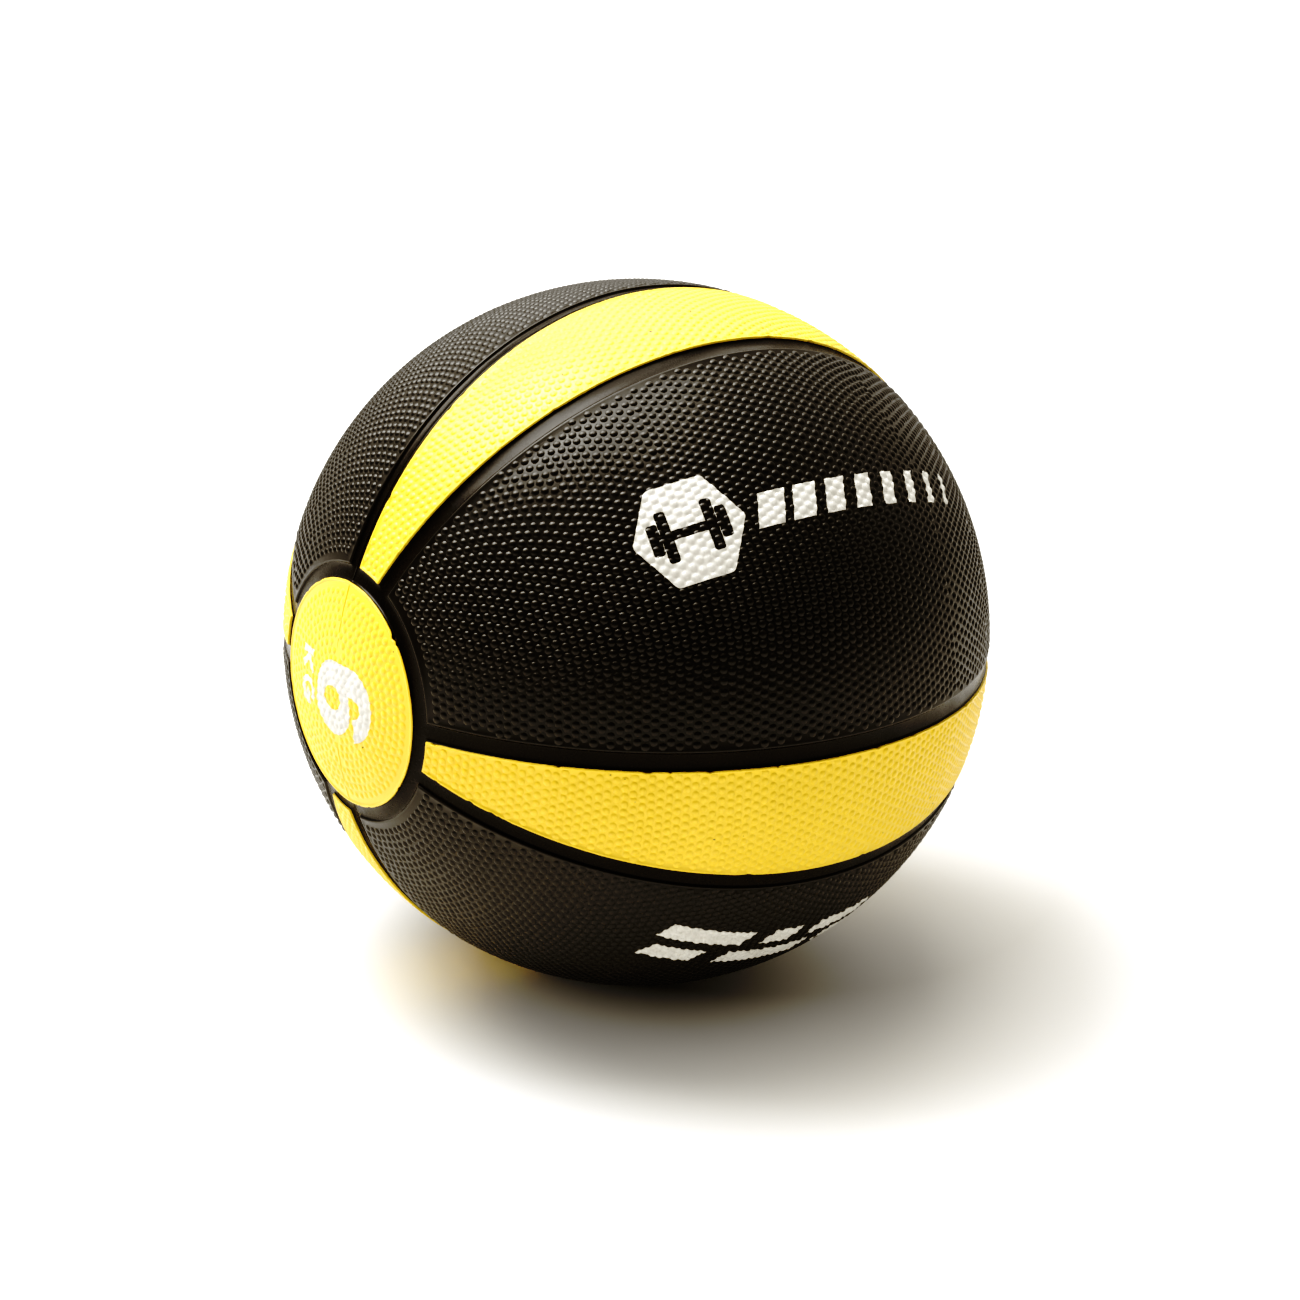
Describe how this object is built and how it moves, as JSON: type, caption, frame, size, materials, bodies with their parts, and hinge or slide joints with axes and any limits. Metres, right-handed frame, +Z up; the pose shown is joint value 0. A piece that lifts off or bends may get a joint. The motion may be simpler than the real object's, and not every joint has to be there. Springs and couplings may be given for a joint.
{
  "type": "medicine ball",
  "caption": "Round textured rubber medicine ball with black and yellow panels, a yellow cap at each pole and a needle valve, for throwing and balance exercise.",
  "frame": {"origin": "centre of the ball", "axes": "X runs through both poles, with the left cap at -X; the two mould halves meet in the XZ plane; +Z up, the ball rests at -Z"},
  "size_m": [0.2402, 0.2398, 0.2398],
  "materials": {
    "black_rubber": "satin moulded rubber with round pebbles",
    "yellow_rubber": "satin moulded rubber with round pebbles",
    "seam_rubber": "smooth satin rubber",
    "filled_rubber": "rough filled rubber",
    "nylon_thread": "wound nylon thread in gum rubber",
    "butyl_rubber": "smooth butyl rubber",
    "valve_rubber": "smooth soft rubber",
    "white_ink": "flat printed ink"
  },
  "bodies": {
    "root": {"panel_black_1": "black_rubber", "panel_black_2": "black_rubber", "panel_black_3": "black_rubber", "panel_black_4": "black_rubber", "panel_yellow_1": "yellow_rubber", "panel_yellow_2": "yellow_rubber", "panel_yellow_3": "yellow_rubber", "panel_yellow_4": "yellow_rubber", "cap_left": "yellow_rubber", "cap_right": "yellow_rubber", "seam_strip_1": "seam_rubber", "seam_strip_2": "seam_rubber", "seam_strip_3": "seam_rubber", "seam_strip_4": "seam_rubber", "seam_strip_5": "seam_rubber", "seam_strip_6": "seam_rubber", "seam_strip_7": "seam_rubber", "seam_strip_8": "seam_rubber", "ring_strip_left": "seam_rubber", "ring_strip_right": "seam_rubber", "carcass_front": "filled_rubber", "carcass_back": "filled_rubber", "winding": "nylon_thread", "bladder": "butyl_rubber", "valve": "valve_rubber", "valve_patch": "butyl_rubber", "weight_mark_left": "white_ink", "weight_mark_right": "white_ink", "badge_print_1": "white_ink", "badge_print_3": "white_ink", "dash_print_2": "white_ink", "dash_print_4": "white_ink"}
  },
  "joints": []
}
